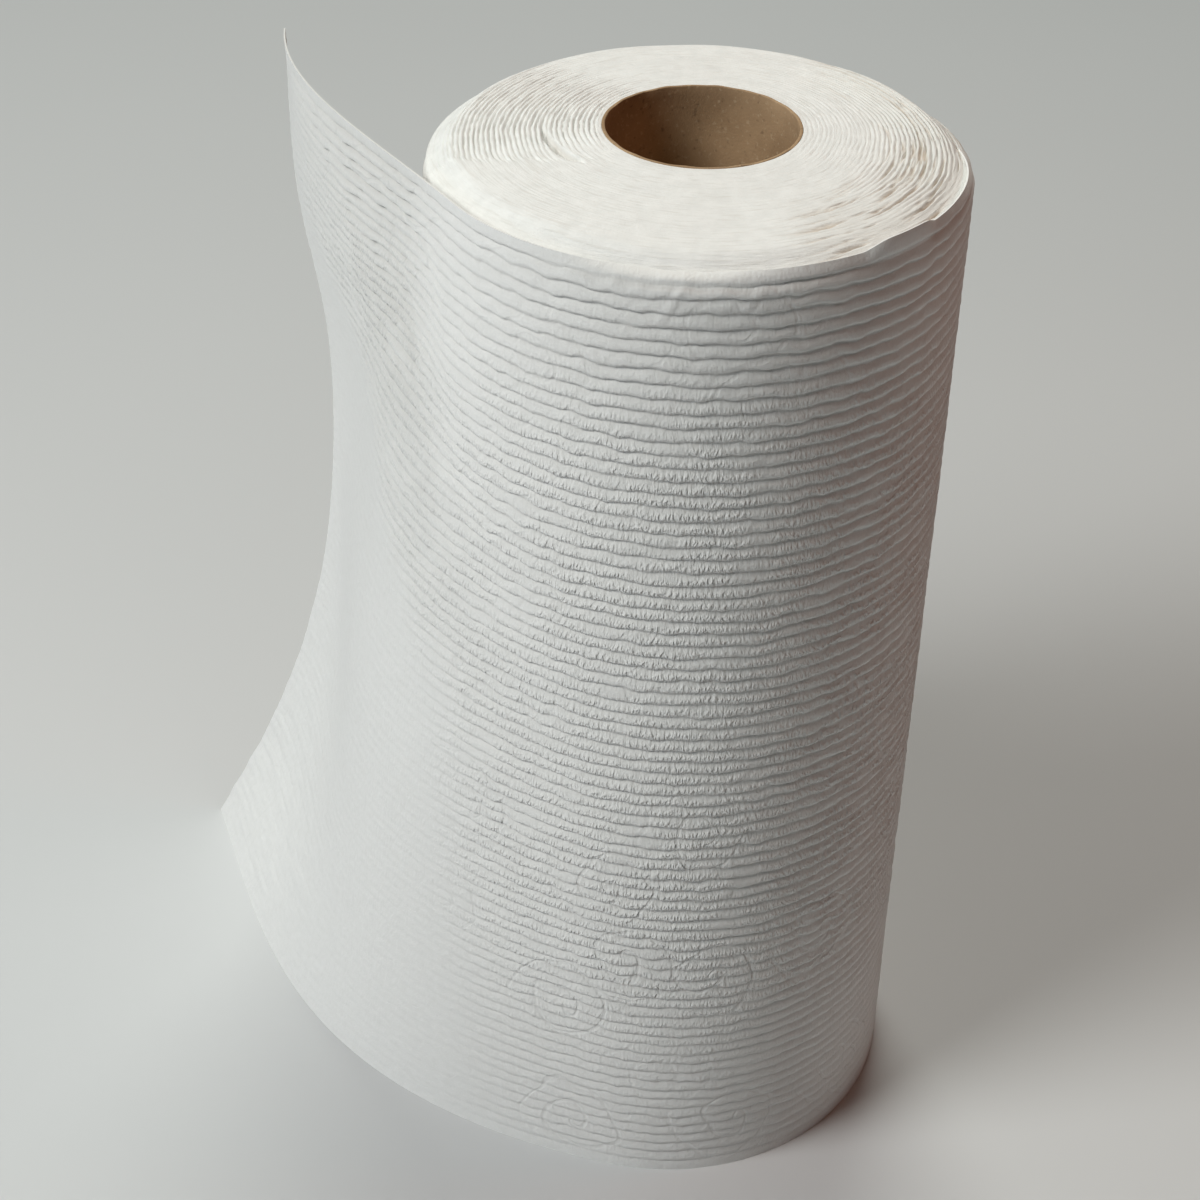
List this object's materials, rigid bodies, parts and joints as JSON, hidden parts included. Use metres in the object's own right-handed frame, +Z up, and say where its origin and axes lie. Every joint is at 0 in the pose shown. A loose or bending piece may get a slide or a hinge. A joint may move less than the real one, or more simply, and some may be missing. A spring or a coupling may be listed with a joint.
{
  "type": "paper towel roll",
  "caption": "Upright roll of quilted white paper towel on a brown board core, with the last sheet unwound and standing open to one side.",
  "frame": {"origin": "axis of the core tube at the foot of the roll", "axes": "+Z up along the core tube's axis; the loose sheet stands out towards -X and its free edge faces +Y"},
  "size_m": [0.208, 0.1464, 0.279],
  "materials": {
    "kraft_board": "matt uncoated board",
    "towel_paper": "soft quilted tissue"
  },
  "bodies": {
    "root": {"core_tube": "kraft_board", "towel_web": "towel_paper"}
  },
  "joints": []
}
